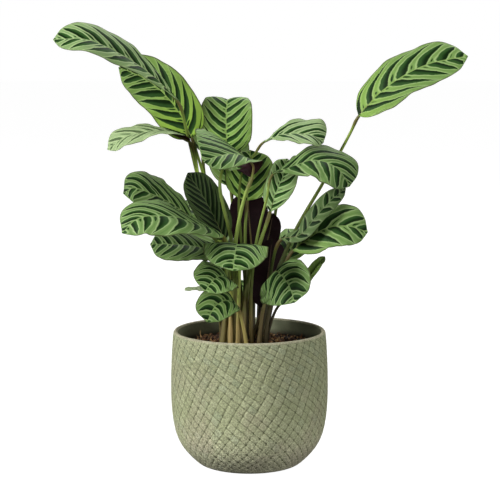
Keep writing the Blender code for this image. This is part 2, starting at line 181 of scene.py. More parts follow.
leaf("centre_arched", (-16, -6), [(-14, -7, 167), (-13, -10, 215), (-5, -8, 256)],
     [(2, -4, 276), (3, -8, 288), (-9, -22, 298), (-25, -44, 299), (-42, -62, 295)],
     54, [(-0.5, 0.8, 0.3), (0.35, -0.3, 0.9), (0.6, -0.6, 0.5)], fold=(10, 10), curl=20,
     sides=(0.6, 1.35), belly=1.2, thick=(3.4, 1.6),
     marks=(5.5, 1.7, 0.3, 1.3, 1.24, 0.05), under=0.3)
leaf("centre_back", (-4, 14), [(-3, 13, 167), (-4, 12, 225)],
     [(-2, 14, 252), (-1, 16, 267), (0, 20, 282), (1, 30, 299)],
     46, [(0, -1, 0.2), (0, -0.8, 0.6)], curl=20, marks=(5, 0.7, 0.5, 1.25, 1.4, 0.5))
leaf("top_right", (10, 12), [(18, 15, 157), (42, 18, 218), (71, 10, 271), (95, -4, 318)],
     [(102, -10, 334), (120, -14, 354), (141, -18, 370), (166, -22, 382), (201, -24, 389)],
     46, [(-0.35, -0.75, 0.55), (-0.15, -0.75, 0.6)], fold=(10, 10), sides=(1.1, 1),
     thick=(2.9, 1.3), marks=(6.5, 0.75, 1.2, 1.18, 0.96, 0.45), uneven=0.3, pale=(0, 1.6))
leaf("right_small", (-4, 20), [(-4, 19, 167), (-10, 8, 251), (-6, 4, 282), (5, 2, 297)],
     [(13, 0, 309), (30, -8, 316), (47, -14, 317), (60, -18, 315), (69, -18, 309)],
     42, [(0, -0.45, 0.9), (0.5, -0.45, 0.75)], fold=(34, 8), sides=(1, 0.8), belly=2.2,
     thick=(2.2, 1.1), marks=(5, 1.3, 0.5, 1.05, 1.08, -0.2))
leaf("right_drooping", (2, -4), [(1.5, -8, 167), (7, -9, 218), (16, -9, 255)],
     [(22, -8, 280), (41, -14, 287), (61, -20, 293), (81, -26, 286), (93, -28, 269)],
     46, [(-0.1, -0.5, 0.85), (0.45, -0.6, 0.6)], fold=(20, 5), curl=30, belly=2.0,
     thick=(2.2, 1.1), marks=(6, 1, 0.6, 1.15, 0.84, 0.05), uneven=-0.45)
# Its high brightness is painted light on a leaf that lies in shade
leaf("right_narrow", (-7, -5), [(-4, -3, 160), (4, 0, 194)],
     [(20, 6, 242), (24, 6, 257), (31, 8, 274), (36, 12, 292)],
     30, [(0.25, -0.95, 0)] * 2, fold=(18, 18), curl=20, belly=1.3, thick=(3.8, 1.6),
     marks=(5, 0.8, 0.4, 1.1, 2.15, -0.1))

# Leaves to the right
leaf("right_folded", (9, 3), [(16, 5, 157)],
     [(30, -6, 218), (48, -17, 223), (63, -20, 241), (77, -12, 255), (91, -2, 265)],
     36, [(-0.3, -0.5, 0.6), (0.1, -0.75, 0.4)], curl=30, sides=(0.6, 0.48),
     marks=(6, 0.9, 0.5, 1, 0.48, -0.05))
leaf("right_broad", (15, -2), [(21, -2, 157)],
     [(41, 0, 206), (56, -8, 218), (71, -14, 228), (91, -18, 231), (111, -16, 225)],
     46, [(-0.25, -0.8, 0.6), (0.2, -0.8, 0.6)], sides=(1.05, 0.95), belly=1.3,
     marks=(4.5, 1, 0.5, 1.25, 0.9, 0.25))
leaf("front_right", (9, -10), [(13, -10, 150)],
     [(25, -11, 188), (31, -24, 184), (37, -37, 177), (42, -46, 163)],
     56, [(-0.6, -0.4, 0.7), (-0.45, -0.8, 0.4)], curl=20, sides=(0.85, 1.1),
     marks=(4.5, 0.2, 1.2, 1.35, 0.98, 0.05))
leaf("right_rolled", (17, 12), [(21, 13, 135), (29, 14, 151)],
     [(49, 14, 163), (60, 10, 182), (72, 6, 199)],
     16, [(-0.6, -0.6, -0.4)] * 2, fold=(60, 60), curl=20, thick=(1.9, 1.1),
     marks=(5, 0.6, 0.5, 0.4, 0.42, 0.6))

# Leaves to the left
leaf("left_upper", (-26, 3), [(-19, 0, 157), (-22, -1, 188), (-30, -11, 214)],
     [(-53, -15, 238), (-73, -24, 253), (-92, -31, 263), (-107, -33, 268), (-117, -31, 263)],
     48, [(0.1, -0.5, 0.85), (-0.2, -0.75, 0.6)], curl=30,
     marks=(6, 1, 0.6, 1.3, 0.74, 0.15), uneven=0.4)
leaf("left_broad", (-25, -5), [(-21, -7, 157), (-22, -9, 185), (-23, -9, 206)],
     [(-25, -19, 223), (-48, -44, 236), (-73, -64, 245), (-100, -72, 244), (-115, -74, 231)],
     50, [(0.05, -0.4, 0.9), (-0.35, -0.7, 0.6)], curl=30, belly=1.2, thick=(3.4, 1.5),
     marks=(8, 0.65, 0.9, 1.1, 1, 0.1), uneven=0.75)
leaf("left_under", (-27, 11), [(-22, 7, 167)],
     [(-33, -2, 206), (-56, -14, 212), (-74, -20, 214), (-93, -20, 214)],
     42, [(0, -0.5, 0.85), (-0.2, -0.7, 0.65)], fold=(14, 14), curl=30,
     marks=(6.5, 0.4, 0.8, 1.1, 0.7, 0.1))
# Its low brightness is painted shade under the leaves above
leaf("left_inner", (-18, 2), [(-13, 3, 167)],
     [(-24, 9, 215), (-34, 4, 238), (-46, -2, 261), (-58, -6, 280)],
     40, [(0.1, -0.95, 0.2)] * 2, fold=(15, 15), curl=20, sides=(0.8, 0.85),
     marks=(9, 1.8, 0.4, 1.6, 0.28, 0.1))
leaf("left_edge_on", (-27, 19), [(-29, 14, 140)],
     [(-31, 9, 161), (-46, 7, 167), (-62, 2, 167)],
     24, [(0.1, 0.02, 1)] * 2, fold=(8, 8), curl=10, thick=(1.9, 1.1),
     marks=(5, 0.6, 0.5, 0.4, 0.95, -0.4))

# Low leaves at the front
leaf("front_middle", (-11, -13), [(-10, -14, 167)],
     [(-9, -16, 209), (-11, -34, 216), (-13, -56, 212), (-15, -71, 196)],
     60, [(0, -0.3, 0.95), (0, -0.9, 0.3)], fold=(9, 9), curl=25,
     marks=(6, 0, 1.3, 1.15, 0.97, 0.1))
leaf("front_left", (-18, -13), [(-18, -11, 152)],
     [(-18, -18, 179), (-25, -32, 186), (-33, -46, 184), (-41, -57, 175)],
     42, [(0.3, -0.4, 0.9), (-0.1, -0.9, 0.3)], fold=(16, 16), curl=20,
     marks=(6, 0, 1.3, 1.15, 0.97, 0.1))
leaf("front_low", (-3, -13), [(-7, -17, 140)],
     [(-12, -23, 157), (-20, -33, 163), (-32, -46, 159), (-39, -54, 146)],
     36, [(0.3, -0.4, 0.9), (-0.1, -0.9, 0.3)], fold=(16, 16), curl=20, thick=(2.1, 1.3),
     marks=(5, 0, 1.3, 1.15, 0.68, 0.2))

# Leaves inside and behind, their undersides to the front; the inner three are darkened with
# painted shade
leaf("inner_back", (-4, 27), [(-5, 27, 160)],
     [(2, 26, 203), (0, 34, 229), (-2, 42, 259)],
     38, [(0, 0.95, 0.1)] * 2, curl=20, under=0.18)
leaf("inner_low", (3, 17), [],
     [(13, 18, 147), (18, 26, 178), (22, 34, 213)],
     34, [(0.1, 0.95, 0.1)] * 2, curl=20, under=0.18)
leaf("inner_small", (10, 24), [(11, 34, 157)],
     [(12, 44, 188), (19, 48, 214), (23, 50, 236)],
     22, [(0.3, 0.9, 0.1)] * 2, curl=20, thick=(1.9, 1.1), under=0.18)
leaf("rear_left", (-11, 29), [(-14, 32, 150)],
     [(-24, 44, 192), (-40, 66, 215), (-60, 96, 222), (-76, 124, 208)],
     46, [(-0.2, 0.1, 1), (-0.3, 0.5, 0.8)])
leaf("rear_right", (16, 19), [(22, 28, 150)],
     [(34, 44, 189), (48, 66, 209), (66, 96, 213), (82, 122, 199)],
     46, [(0.2, 0.1, 1), (0.3, 0.5, 0.8)])
leaf("rear_high", (-11, 36), [(-12, 40, 180), (-16, 48, 235)],
     [(-18, 52, 262), (-20, 62, 288), (-24, 82, 308), (-27, 106, 312)],
     44, [(0, -0.3, 1), (0, 0.3, 1)])
leaf("rear_middle", (-3, 34), [(0, 44, 160)],
     [(2, 58, 188), (4, 82, 212), (8, 110, 218), (10, 138, 202)],
     40, [(0, 0, 1), (0, 0.5, 0.8)])
leaf("rear_left_upper", (-19, 26), [(-19, 26, 170)],
     [(-30, 34, 214), (-48, 54, 238), (-66, 80, 244), (-82, 104, 234)],
     42, [(-0.2, 0.1, 1), (-0.4, 0.4, 0.8)])
leaf("rear_right_upper", (9, 32), [(11, 50, 165), (22, 60, 215), (29, 57, 252)],
     [(38, 56, 276), (56, 72, 287), (76, 92, 283), (90, 108, 268)],
     42, [(0.1, 0, 1), (0.4, 0.4, 0.8)])
leaf("rear_top", (3, 27.5), [(4, 38, 170), (2, 48, 225), (-4, 52, 262)],
     [(-10, 48, 298), (-14, 52, 314), (-19, 64, 329), (-24, 84, 334)],
     40, [(0, -0.3, 1), (0, 0.3, 1)])
leaf("rear_low", (3, 38), [(3, 47, 130)],
     [(2, 62, 152), (0, 80, 162), (-3, 100, 160), (-5, 118, 144)],
     38, [(0, 0, 1), (0, 0.5, 0.8)])


def unit(v):
    return v / np.linalg.norm(v, axis=-1, keepdims=True)


def hermite(x, xs, ys):
    """A smooth curve through the points that makes no hump between them."""
    x, xs, ys = (np.asarray(a, float) for a in (x, xs, ys))
    d = np.diff(ys) / np.diff(xs)
    both = d[:-1] * d[1:]
    inner = np.where(both > 0, 2 * both / (d[:-1] + d[1:] + 1e-12), 0)
    m = np.concatenate([d[:1], inner, d[-1:]])
    i = np.clip(np.searchsorted(xs, x, side="right") - 1, 0, len(xs) - 2)
    h = xs[i + 1] - xs[i]
    t = (x - xs[i]) / h
    return ((1 + 2 * t) * (1 - t) ** 2 * ys[i] + t * (1 - t) ** 2 * h * m[i]
            + t * t * (3 - 2 * t) * ys[i + 1] + t * t * (t - 1) * h * m[i + 1])


def blend(t, start, end, first, last):
    return ((end - t) * first + (t - start) * last) / (end - start)


def spline(points, before=None, after=None):
    """Centripetal spline through the points, sampled finely. before and after steer its ends."""
    p = np.asarray(points, float)
    bend = p[2] - 2 * p[1] + p[0] if len(p) == 3 else np.zeros(3)
    first = p[0] - (p[1] - p[0]) + 0.5 * bend if before is None else before
    last = p[-1] + (p[-1] - p[-2]) + 0.5 * bend if after is None else after
    p = np.vstack([first, p, last])
    k = np.concatenate([[0], np.cumsum(np.sqrt(np.linalg.norm(np.diff(p, axis=0), axis=1)))])
    found = []
    for i in range(1, len(p) - 2):
        t = np.linspace(k[i], k[i + 1], SPLINE_STEPS, endpoint=i == len(p) - 3)[:, None]
        a, b, c = (blend(t, k[j], k[j + 1], p[j], p[j + 1]) for j in (i - 1, i, i + 1))
        a = blend(t, k[i - 1], k[i + 1], a, b)
        b = blend(t, k[i], k[i + 2], b, c)
        found.append(blend(t, k[i], k[i + 1], a, b))
    return np.vstack(found)


def read(wanted, places, values):
    """Rows of values, which are given at these places, read at the wanted ones."""
    return np.stack([np.interp(wanted, places, column) for column in values.T], axis=1)


def along(path, shares):
    """Points at these shares of the path's length, and the length."""
    s = np.concatenate([[0], np.cumsum(np.linalg.norm(np.diff(path, axis=0), axis=1))])
    return read(np.asarray(shares) * s[-1], s, path), s[-1]


def round_angles(sides):
    return np.linspace(0, 2 * np.pi, sides, endpoint=False)


def turned(radius, angle, height):
    """Points at these radii and heights around the pot's axis."""
    return np.stack(np.broadcast_arrays(radius * np.cos(angle), radius * np.sin(angle), height),
                    axis=-1)


def pair(first, second, shape):
    """Two coordinates for each point of a grid of this shape."""
    return np.stack([np.broadcast_to(first, shape), np.broadcast_to(second, shape)], axis=-1)


def closed(numbers):
    """The grid with its first column again after its last, so that faces go all round."""
    return np.concatenate([numbers, numbers[:, :1]], axis=1)


def rgb(red, green, blue):
    """A colour as seen on a screen, 0 to 255, as the linear values that a shader takes."""
    c = np.array([red, green, blue]) / 255
    linear = np.where(c <= 0.04045, c / 12.92, ((c + 0.055) / 1.055) ** 2.4)
    return tuple(float(x) for x in linear)


def feed(tree, socket, value):
    """Links a signal to the socket, or sets its number or colour."""
    if isinstance(value, Signal):
        tree.links.new(value.socket, socket)
    elif isinstance(value, tuple):
        socket.default_value = (*value, 1) if socket.type == "RGBA" else value
    else:
        socket.default_value = value


def make_node(tree, kind, inputs, out=0, **settings):
    """A new shader node with these settings and inputs, and the signal that it gives."""
    node = tree.nodes.new("ShaderNode" + kind)
    for name, value in settings.items():
        setattr(node, name, value)
    for place, value in inputs.items():
        feed(tree, node.inputs[place], value)
    return Signal(tree, node.outputs[out])


class Signal:
    """A shader node's output, with the arithmetic that a pattern needs."""

    def __init__(self, tree, socket):
        self.tree = tree
        self.socket = socket

    def math(self, operation, *others):
        return make_node(self.tree, "Math", dict(enumerate((self, *others))), operation=operation)

    def __add__(self, other):
        return self.math("ADD", other)

    def __sub__(self, other):
        return self.math("SUBTRACT", other)

    def __mul__(self, other):
        return self.math("MULTIPLY", other)

    def __rsub__(self, other):
        return (self * -1.0) + other

    __radd__ = __add__
    __rmul__ = __mul__

    def size(self):
        return self.math("ABSOLUTE")

    def floor(self):
        return self.math("FLOOR")

    def step(self, low, high, start=0.0, end=1.0):
        """Goes softly from start, at or below low, to end, at or above high."""
        ends = {"Value": self, "From Min": low, "From Max": high, "To Min": start, "To Max": end}
        return make_node(self.tree, "MapRange", ends, "Result", interpolation_type="SMOOTHSTEP")

    def fade(self, low, high):
        """Goes softly from 1 to 0."""
        return self.step(low, high, 1.0, 0.0)


class Look:
    """A material under construction."""

    def __init__(self, name):
        self.material = bpy.data.materials.new(name)
        self.material.use_nodes = True
        self.tree = self.material.node_tree
        self.shader = self.tree.nodes["Principled BSDF"]

    def node(self, kind, inputs, out=0, **settings):
        return make_node(self.tree, kind, inputs, out, **settings)

    def set(self, **inputs):
        """Feeds the shader's sockets: base_color stands for Base Color."""
        for name, value in inputs.items():
            socket = name.replace("_", " ").title().replace("Ior", "IOR")
            feed(self.tree, self.shader.inputs[socket], value)

    def surface(self, colour, specular, roughness):
        self.set(base_color=colour, specular_ior_level=specular, roughness=roughness)

    def uv(self, name):
        return self.split(self.node("UVMap", {}, uv_map=name))[:2]

    def place(self):
        return self.node("TexCoord", {}, "Object")

    def split(self, vector):
        node = self.tree.nodes.new("ShaderNodeSeparateXYZ")
        feed(self.tree, node.inputs[0], vector)
        return [Signal(self.tree, out) for out in node.outputs]

    def join(self, x, y, z=0.0):
        return self.node("CombineXYZ", {0: x, 1: y, 2: z})

    def chance(self, cell, second):
        """A random number from 0 to 1 for each pair of whole numbers."""
        return self.node("TexWhiteNoise", {"Vector": self.join(cell, second)}, "Value",
                         noise_dimensions="2D")

    def noise(self, vector, scale, detail=2.0, roughness=0.5):
        inputs = {"Vector": vector, "Scale": scale, "Detail": detail, "Roughness": roughness}
        return self.node("TexNoise", inputs, "Fac")

    def cracks(self, vector, scale):
        """Distance from the nearest seam of an irregular net."""
        return self.node("TexVoronoi", {"Vector": vector, "Scale": scale}, "Distance",
                         feature="DISTANCE_TO_EDGE")

    def mix(self, share, first, second):
        return self.node("Mix", {0: share, 6: first, 7: second}, 2, data_type="RGBA")

    def bright(self, colour, amount):
        """The colour times a number."""
        return self.node("VectorMath", {0: colour, "Scale": amount}, operation="SCALE")

    def bump(self, height, distance):
        """height, from 0 to 1, raised by distance in metres."""
        raised = self.node("Bump", {"Height": height, "Distance": distance, "Strength": 1.0})
        feed(self.tree, self.shader.inputs["Normal"], raised)


class Skin:
    """Points, faces and surface coordinates gathered for one mesh."""

    def __init__(self, *maps):
        self.points = []
        self.faces = []
        self.looks = []
        self.maps = {name: [] for name in maps}
        self.count = 0

    def add_points(self, points):
        """Adds points in millimetres and returns their numbers, in the same layout."""
        points = np.asarray(points, float)
        flat = points.reshape(-1, 3)
        self.points.append(flat)
        numbers = self.count + np.arange(len(flat)).reshape(points.shape[:-1])
        self.count += len(flat)
        return numbers

    def add_faces(self, faces, look, flip=False, **maps):
        """faces: rows of point numbers, turned over by flip. maps: two coordinates a corner."""
        faces = np.asarray(faces)
        order = slice(None, None, -1 if flip else 1)
        for name, found in self.maps.items():
            values = np.broadcast_to(np.asarray(maps[name], float), faces.shape + (2,))
            found.append(values[..., order, :].reshape(-1, 2))
        faces = faces[..., order].reshape(-1, faces.shape[-1])
        self.faces += faces.tolist()
        self.looks.append(np.full(len(faces), look))

    def add_fan(self, ring, height, look, flip=False):
        """Closes a ring of points with triangles to its middle, on the pot's axis."""
        centre = self.add_points((0.0, 0.0, height))
        fan = np.stack([ring[:-1], ring[1:], np.full(len(ring) - 1, centre)], axis=-1)
        self.add_faces(fan, look, flip, **{name: (0.0, 0.0) for name in self.maps})

    def build(self, name, materials):
        mesh = bpy.data.meshes.new(name)
        mesh.from_pydata((np.vstack(self.points) * MM).tolist(), [], self.faces)
        for item in materials:
            mesh.materials.append(item)
        mesh.polygons.foreach_set("material_index", np.concatenate(self.looks).astype(np.int32))
        mesh.polygons.foreach_set("use_smooth", np.ones(len(self.faces), bool))
        for label, found in self.maps.items():
            layer = mesh.uv_layers.new(name=label)
            layer.data.foreach_set("uv", np.vstack(found).astype(np.float32).ravel())
        mesh.update()
        obj = bpy.data.objects.new(name, mesh)
        bpy.context.scene.collection.objects.link(obj)
        return obj


def quads(grid):
    """What a grid holds at each quad's corners: (i, j), (i, j+1), (i+1, j+1) and (i+1, j)."""
    return np.stack([grid[:-1, :-1], grid[:-1, 1:], grid[1:, 1:], grid[1:, :-1]], axis=2)


# Leaves
def blade_frame(spec):
    """Along the blade: shares, midrib points, length, right and up directions, and fine path."""
    even = np.linspace(0, 1, BLADE_STEPS + 1)
    u = 0.65 * even + 0.35 * (1 - np.cos(np.pi * even)) / 2
    fine = spline(spec["rib"])
    mid, length = along(fine, u)
    ahead, _ = along(fine, np.minimum(u + 0.01, 1))
    behind, _ = along(fine, np.maximum(u - 0.01, 0))
    tangent = unit(ahead - behind)
    given = unit(np.array(spec["faces"], float))
    knots = np.linspace(0, 1, len(given)) if len(given) == 2 else np.array([0, 0.4, 1])
    face = np.stack([hermite(u, knots, given[:, c]) for c in range(3)], axis=1)
    up = unit(face - (face * tangent).sum(axis=1, keepdims=True) * tangent)
    return u, mid, length, np.cross(tangent, up), up, fine


def bar_places(u, length, distance, widest, count, sweep, curve):
    """Where each point lies along the run of bars, which leave the midrib and sweep to the tip."""
    start = u[:, None] * length - sweep * (0.8 + 0.4 * u[:, None]) * distance
    start = start - curve * widest * (distance / widest) ** 2.5
    share = start / length
    return count * (share + 0.12 * np.sin(2 * np.pi * np.clip(share, -0.1, 1)) / (2 * np.pi))


def add_blade(skin, spec, index, blade):
    """The two faces of a blade, closed along the margin, with the midrib's furrow and pleats."""
    u, mid, length, right, up, _ = blade
    v = np.array([-a for a in reversed(HALF_ACROSS)] + [0.0] + HALF_ACROSS)
    bars, sweep, curve, full, bright, yellow = spec["marks"]
    share = np.abs(v)
    sign = np.where(v < 0, -1.0, 1.0)
    side = np.where(v < 0, 0, 1)
    half = spec["width"] / 2 * hermite(u ** spec["belly"], OUTLINE_U, OUTLINE_W)
    half = np.maximum(half, 0.3)
    steep = np.clip(half / 6, 0, 1)[:, None]
    reach = half[:, None] * np.array(spec["sides"], float)[side]
    fold = np.radians(np.array(spec["fold"], float))[side] * steep
    curl = np.radians(spec["curl"])
    lean = fold - curl * share
    outward = (np.sin(fold) - np.sin(lean)) / curl
    rise = (np.cos(lean) - np.cos(fold)) / curl
    turn = 2 * np.pi * WAVES * u[:, None] + np.where(v < 0, 1.3, 0)
    small = 2 * np.pi * u[:, None] + index * 1.7 + np.where(v < 0, 2.1, 0)
    ripple = WAVE * np.sin(turn) * share ** 2
    ripple = ripple + (0.028 * np.sin(3.1 * small) + 0.014 * np.sin(7.3 * small)) * share ** 3
    distance = reach * share
    sweep = sweep + spec["uneven"] * sign
    phi = bar_places(u, length, distance, spec["width"] / 2, bars, sweep, curve)
    across = right[:, None] * (reach * outward * sign)[..., None]
    middle = mid[:, None] + across + up[:, None] * (reach * (rise + ripple * steep))[..., None]
    normal = (up[:, None] * np.cos(lean)[..., None]
              - right[:, None] * (sign * np.sin(lean))[..., None])
    normal[:, v == 0] = up[:, None]
    open_part = np.clip(share / 0.12, 0, 1) * np.clip((1 - share) / 0.3, 0, 1) * steep
    pleat = PLEAT * np.cos(4 * np.pi * phi) * open_part
    furrow = np.exp(-(distance / FURROW_WIDTH) ** 2) * (1 - 0.7 * u[:, None]) * steep
    thick = BLADE_THICK / 2 * (1 - 0.75 * share ** 8)
    upper = skin.add_points(middle + normal * (thick + pleat - FURROW_DEPTH * furrow)[..., None])
    lower = skin.add_points(middle - normal * (thick - pleat)[..., None])

    # Painted light and shade: the leaf's brightness on the upper side, and its painted shade,
    # under, on the underside
    tint = (bright, yellow)
    kind = (full, float(index))
    flat = pair(u[:, None] * length, distance * sign, phi.shape)
    rib = len(HALF_ACROSS)
    for part, extra in ((slice(0, rib + 1), 0.5), (slice(rib, len(v)), 0.0)):
        bar_map = pair(phi[:, part] + MAP_STEP * index + extra, v[part], phi[:, part].shape)
        maps = dict(bars=quads(bar_map), place=quads(flat[:, part]), kind=kind)
        skin.add_faces(quads(upper[:, part]), UPPER, leaf=tint, **maps)
        skin.add_faces(quads(lower[:, part]), UNDER, flip=True, leaf=(spec["under"], 0.0),
                       **maps)
    for margin in ((upper[:-1, 0], upper[1:, 0], lower[1:, 0], lower[:-1, 0]),
                   (upper[:-1, -1], lower[:-1, -1], lower[1:, -1], upper[1:, -1]),
                   (upper[0, :-1], lower[0, :-1], lower[0, 1:], upper[0, 1:]),
                   (upper[-1, :-1], upper[-1, 1:], lower[-1, 1:], lower[-1, :-1])):
        skin.add_faces(np.stack(margin, axis=-1), UPPER, bars=(MAP_STEP * index, 1.0),
                       place=(0.0, 99.0), leaf=tint, kind=kind)


def add_stalk(skin, spec, index, blade):
    """One round tube: up from the soil to the blade, then along the midrib under it."""
    u, mid, length, _, up, fine = blade
    x, y = spec["foot"]
    start = np.array([x, y, STALK_STRAIGHT])
    path = spline([start] + [np.array(p, float) for p in spec["by"]] + [fine[0]],
                  before=start - (0, 0, 20), after=fine[0] + 18 * unit(fine[3] - fine[0]))
    reach = np.linalg.norm(np.diff(path, axis=0), axis=1).sum()
    shares = np.linspace(0, 1, max(6, int(reach / STALK_STEP)))
    centre, _ = along(path, shares)
    to_blade = (1 - shares) * reach
    radius = hermite(shares, [0, 0.25, 0.7, 1],
                     np.interp([0, 0.45, 0.85, 1], [0, 1], spec["thick"]))
    radius = radius * (1 + 0.28 * np.exp(-((to_blade - 7) / 5) ** 2))
    below = np.linspace(0.012, RIB_END, RIB_RINGS)
    under_up = unit(read(below, u, up))
    under_radius = 0.32 + (spec["thick"][1] * 0.8 - 0.32) * (1 - below / RIB_END) ** 1.2
    drop = 0.25 + 0.72 * under_radius
    settle = np.clip(1 - to_blade / 14, 0, 1)[:, None] ** 2
    centre = centre - up[0] * drop[0] * settle
    under = read(below, u, mid) - under_up * drop[:, None]
    centre = np.vstack([[x, y, STALK_FOOT], centre, under])
    radius = np.concatenate([radius[:1], radius, under_radius])
    ahead = unit(np.gradient(centre, axis=0))
    ups = np.zeros_like(centre)
    ups[-RIB_RINGS:] = under_up
    for i in range(len(centre) - RIB_RINGS - 1, -1, -1):
        ups[i] = unit(ups[i + 1] - (ups[i + 1] @ ahead[i]) * ahead[i])
    ups = unit(ups - (ups * ahead).sum(axis=1, keepdims=True) * ahead)
    rights = np.cross(ahead, ups)
    angles = round_angles(TUBE_SIDES)[:, None]
    spokes = np.cos(angles) * rights[:, None] + np.sin(angles) * ups[:, None]
    rings = closed(skin.add_points(centre[:, None] + radius[:, None, None] * spokes))

    before = np.concatenate([[reach + STALK_SUNK], to_blade, -below * length])
    place = pair(before[:, None], centre[:, 2:] - SOIL_TOP, rings.shape)
    turn = pair(np.linspace(0, 1, TUBE_SIDES + 1), MAP_STEP * index, rings.shape)
    # Painted shade: stalks further back, and those right of the middle, are darker
    painted_shade = np.interp(y, *STALK_PAINTED_SHADES)
    if x > STALK_RIGHT_FROM:
        painted_shade = painted_shade * STALK_RIGHT_PAINTED_SHADE
    # Painted light: the stalk is made paler from this far below the blade, where it lies in shade
    begin, lift = spec["pale"]
    pale = 1 + (lift - 1) * np.clip((before - begin) / 15, 0, 1)
    tint = pair(painted_shade, pale[:, None], rings.shape)
    kind = (1.0, float(index))
    skin.add_faces(quads(rings), STALK, flip=True, bars=quads(turn),
                   place=quads(place), leaf=quads(tint), kind=kind)
    for end, order in ((0, slice(None, -1)), (-1, slice(-2, None, -1))):
        skin.add_faces(rings[end, order][None], STALK, bars=(0.0, 0.0), place=place[end, order],
                       leaf=tint[end, order], kind=kind)


def make_leaves(materials):
    for index, spec in enumerate(LEAVES):
        skin = Skin("bars", "place", "leaf", "kind")
        blade = blade_frame(spec)
        add_blade(skin, spec, index, blade)
        add_stalk(skin, spec, index, blade)
        obj = skin.build(spec["name"].replace("leaf_", "foliage_"), materials)
        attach(obj, ROOT)
        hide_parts(spec["name"])


def upper_look():
    """Light ground with dark bars that are full near the midrib and run out to fine points."""
    look = Look("leaf_upper")
    phi, signed = look.uv("bars")
    along_mm, across_mm = look.uv("place")
    bright, yellow = look.uv("leaf")
    full, number = look.uv("kind")
    share = signed.size()
    spot = look.join(along_mm, across_mm, number * 40.0)
    phi = phi + (look.noise(spot, 0.14) - 0.5) * 0.2
    # Bars, each with its own width and length
    cell = phi.floor()
    chance = look.chance(cell, 1.0)
    other = look.chance(cell, 7.0)
    offset = phi - cell - 0.5
    from_bar = offset.size()
    rise = share.step(0.0, 0.12, 0.8, 1.0)
    fall = share.step(0.42 + 0.15 * other, 0.99, 1.0, 0.03)
    half = (0.185 + 0.07 * chance) * rise * fall * full
    bar = (from_bar - half).fade(-0.045, 0.05)
    bar = bar * share.step(0.0, 0.02) * share.fade(0.9, 0.98)

    # Short drops between the bars, near the midrib
    shifted = phi + 0.5
    between = shifted.floor()
    luck = look.chance(between, 3.0)
    reach = 0.16 + 0.3 * look.chance(between, 5.0)
    drop_width = (0.02 + 0.085 * luck) * share.step(0.02, 0.12)
    drop_width = drop_width * share.fade(reach * 0.45, reach)
    from_gap = (shifted - between - 0.5).size()
    drop = (from_gap - drop_width).fade(-0.02, 0.03)
    drop = drop * share.step(0.03, 0.07) * drop_width.step(0.004, 0.02)
    dark = bar.math("MAXIMUM", drop)

    # Ground with fine veins, palest beside the bars
    grain = look.noise(spot, 0.9, detail=3.0, roughness=0.6)
    veins = (phi * (2 * np.pi * 9)).math("SINE")
    beside = (from_bar - half).fade(0.0, 0.17)
    ground = look.mix(beside.step(0.0, 1.0, 0.0, 0.9), rgb(114, 146, 84), rgb(166, 192, 130))
    middle = from_bar.step(0.36, 0.5) * share.step(0.1, 0.5)
    ground = look.mix(middle * 0.42, ground, rgb(82, 116, 58))
    warm = yellow * along_mm.step(0.0, 75.0, 1.0, 0.25)
    ground = look.mix(warm, ground, rgb(156, 196, 78))
    # Paleness mixes toward a light grey green, partly a painted sheen
    ground = look.mix(yellow * -1.0, ground, rgb(198, 206, 172))
    ground = look.bright(ground, 0.93 + 0.1 * grain + 0.035 * veins)
    # Bars are lighter and greener along the edge toward the leaf's base, partly a painted sheen
    deep = look.mix(offset.step(-0.16, 0.14), rgb(46, 80, 34), rgb(15, 38, 8))
    deep = look.bright(deep, 0.85 + 0.3 * grain)
    colour = look.mix(dark * full.step(0.2, 0.9, 0.3, 1.0), ground, deep)
    # Brown margin and light midrib
    colour = look.mix(share.step(0.94, 0.98) * 0.85, colour, rgb(72, 76, 46))
    rib = across_mm.size().step(0.15, 0.5) * -1.0 + 1.0
    rib = rib * (0.1 + 1.1 * yellow).math("MINIMUM", 0.8)
    colour = look.mix(rib, colour, rgb(146, 172, 92))
    # Painted light and shade: the whole upper side times the leaf's brightness
    look.surface(look.bright(colour, bright), 0.09, 0.5 + 0.1 * grain)
    look.bump(0.5 + 0.5 * veins * share.step(0.04, 0.2) * 0.6 + grain * 0.4, 0.0001)
    return look.material


def under_look():
    """Dark maroon with faint veins, a little green toward the margin and the midrib."""
    look = Look("leaf_underside")
    phi, signed = look.uv("bars")
    along_mm, across_mm = look.uv("place")
    bright, _ = look.uv("leaf")
    share = signed.size()
    grain = look.noise(look.join(along_mm, across_mm, phi * 0.02), 0.25, detail=3.0)
    veins = (phi * (2 * np.pi * 5)).math("SINE")
    colour = look.mix(grain, rgb(62, 28, 37), rgb(96, 48, 58))
    colour = look.bright(colour, 0.95 + 0.06 * veins)
    colour = look.mix(share.step(0.93, 1.0) * 0.6, colour, rgb(70, 66, 40))
    colour = look.mix(across_mm.size().step(0.6, 1.6, 0.5, 0.0), colour, rgb(96, 84, 52))
    # Painted shade: the underside times its shade from the leaf's list
    look.surface(look.bright(colour, bright), 0.15, 0.46 + 0.15 * grain)
    look.bump(0.5 + 0.4 * veins, 0.0001)
    return look.material


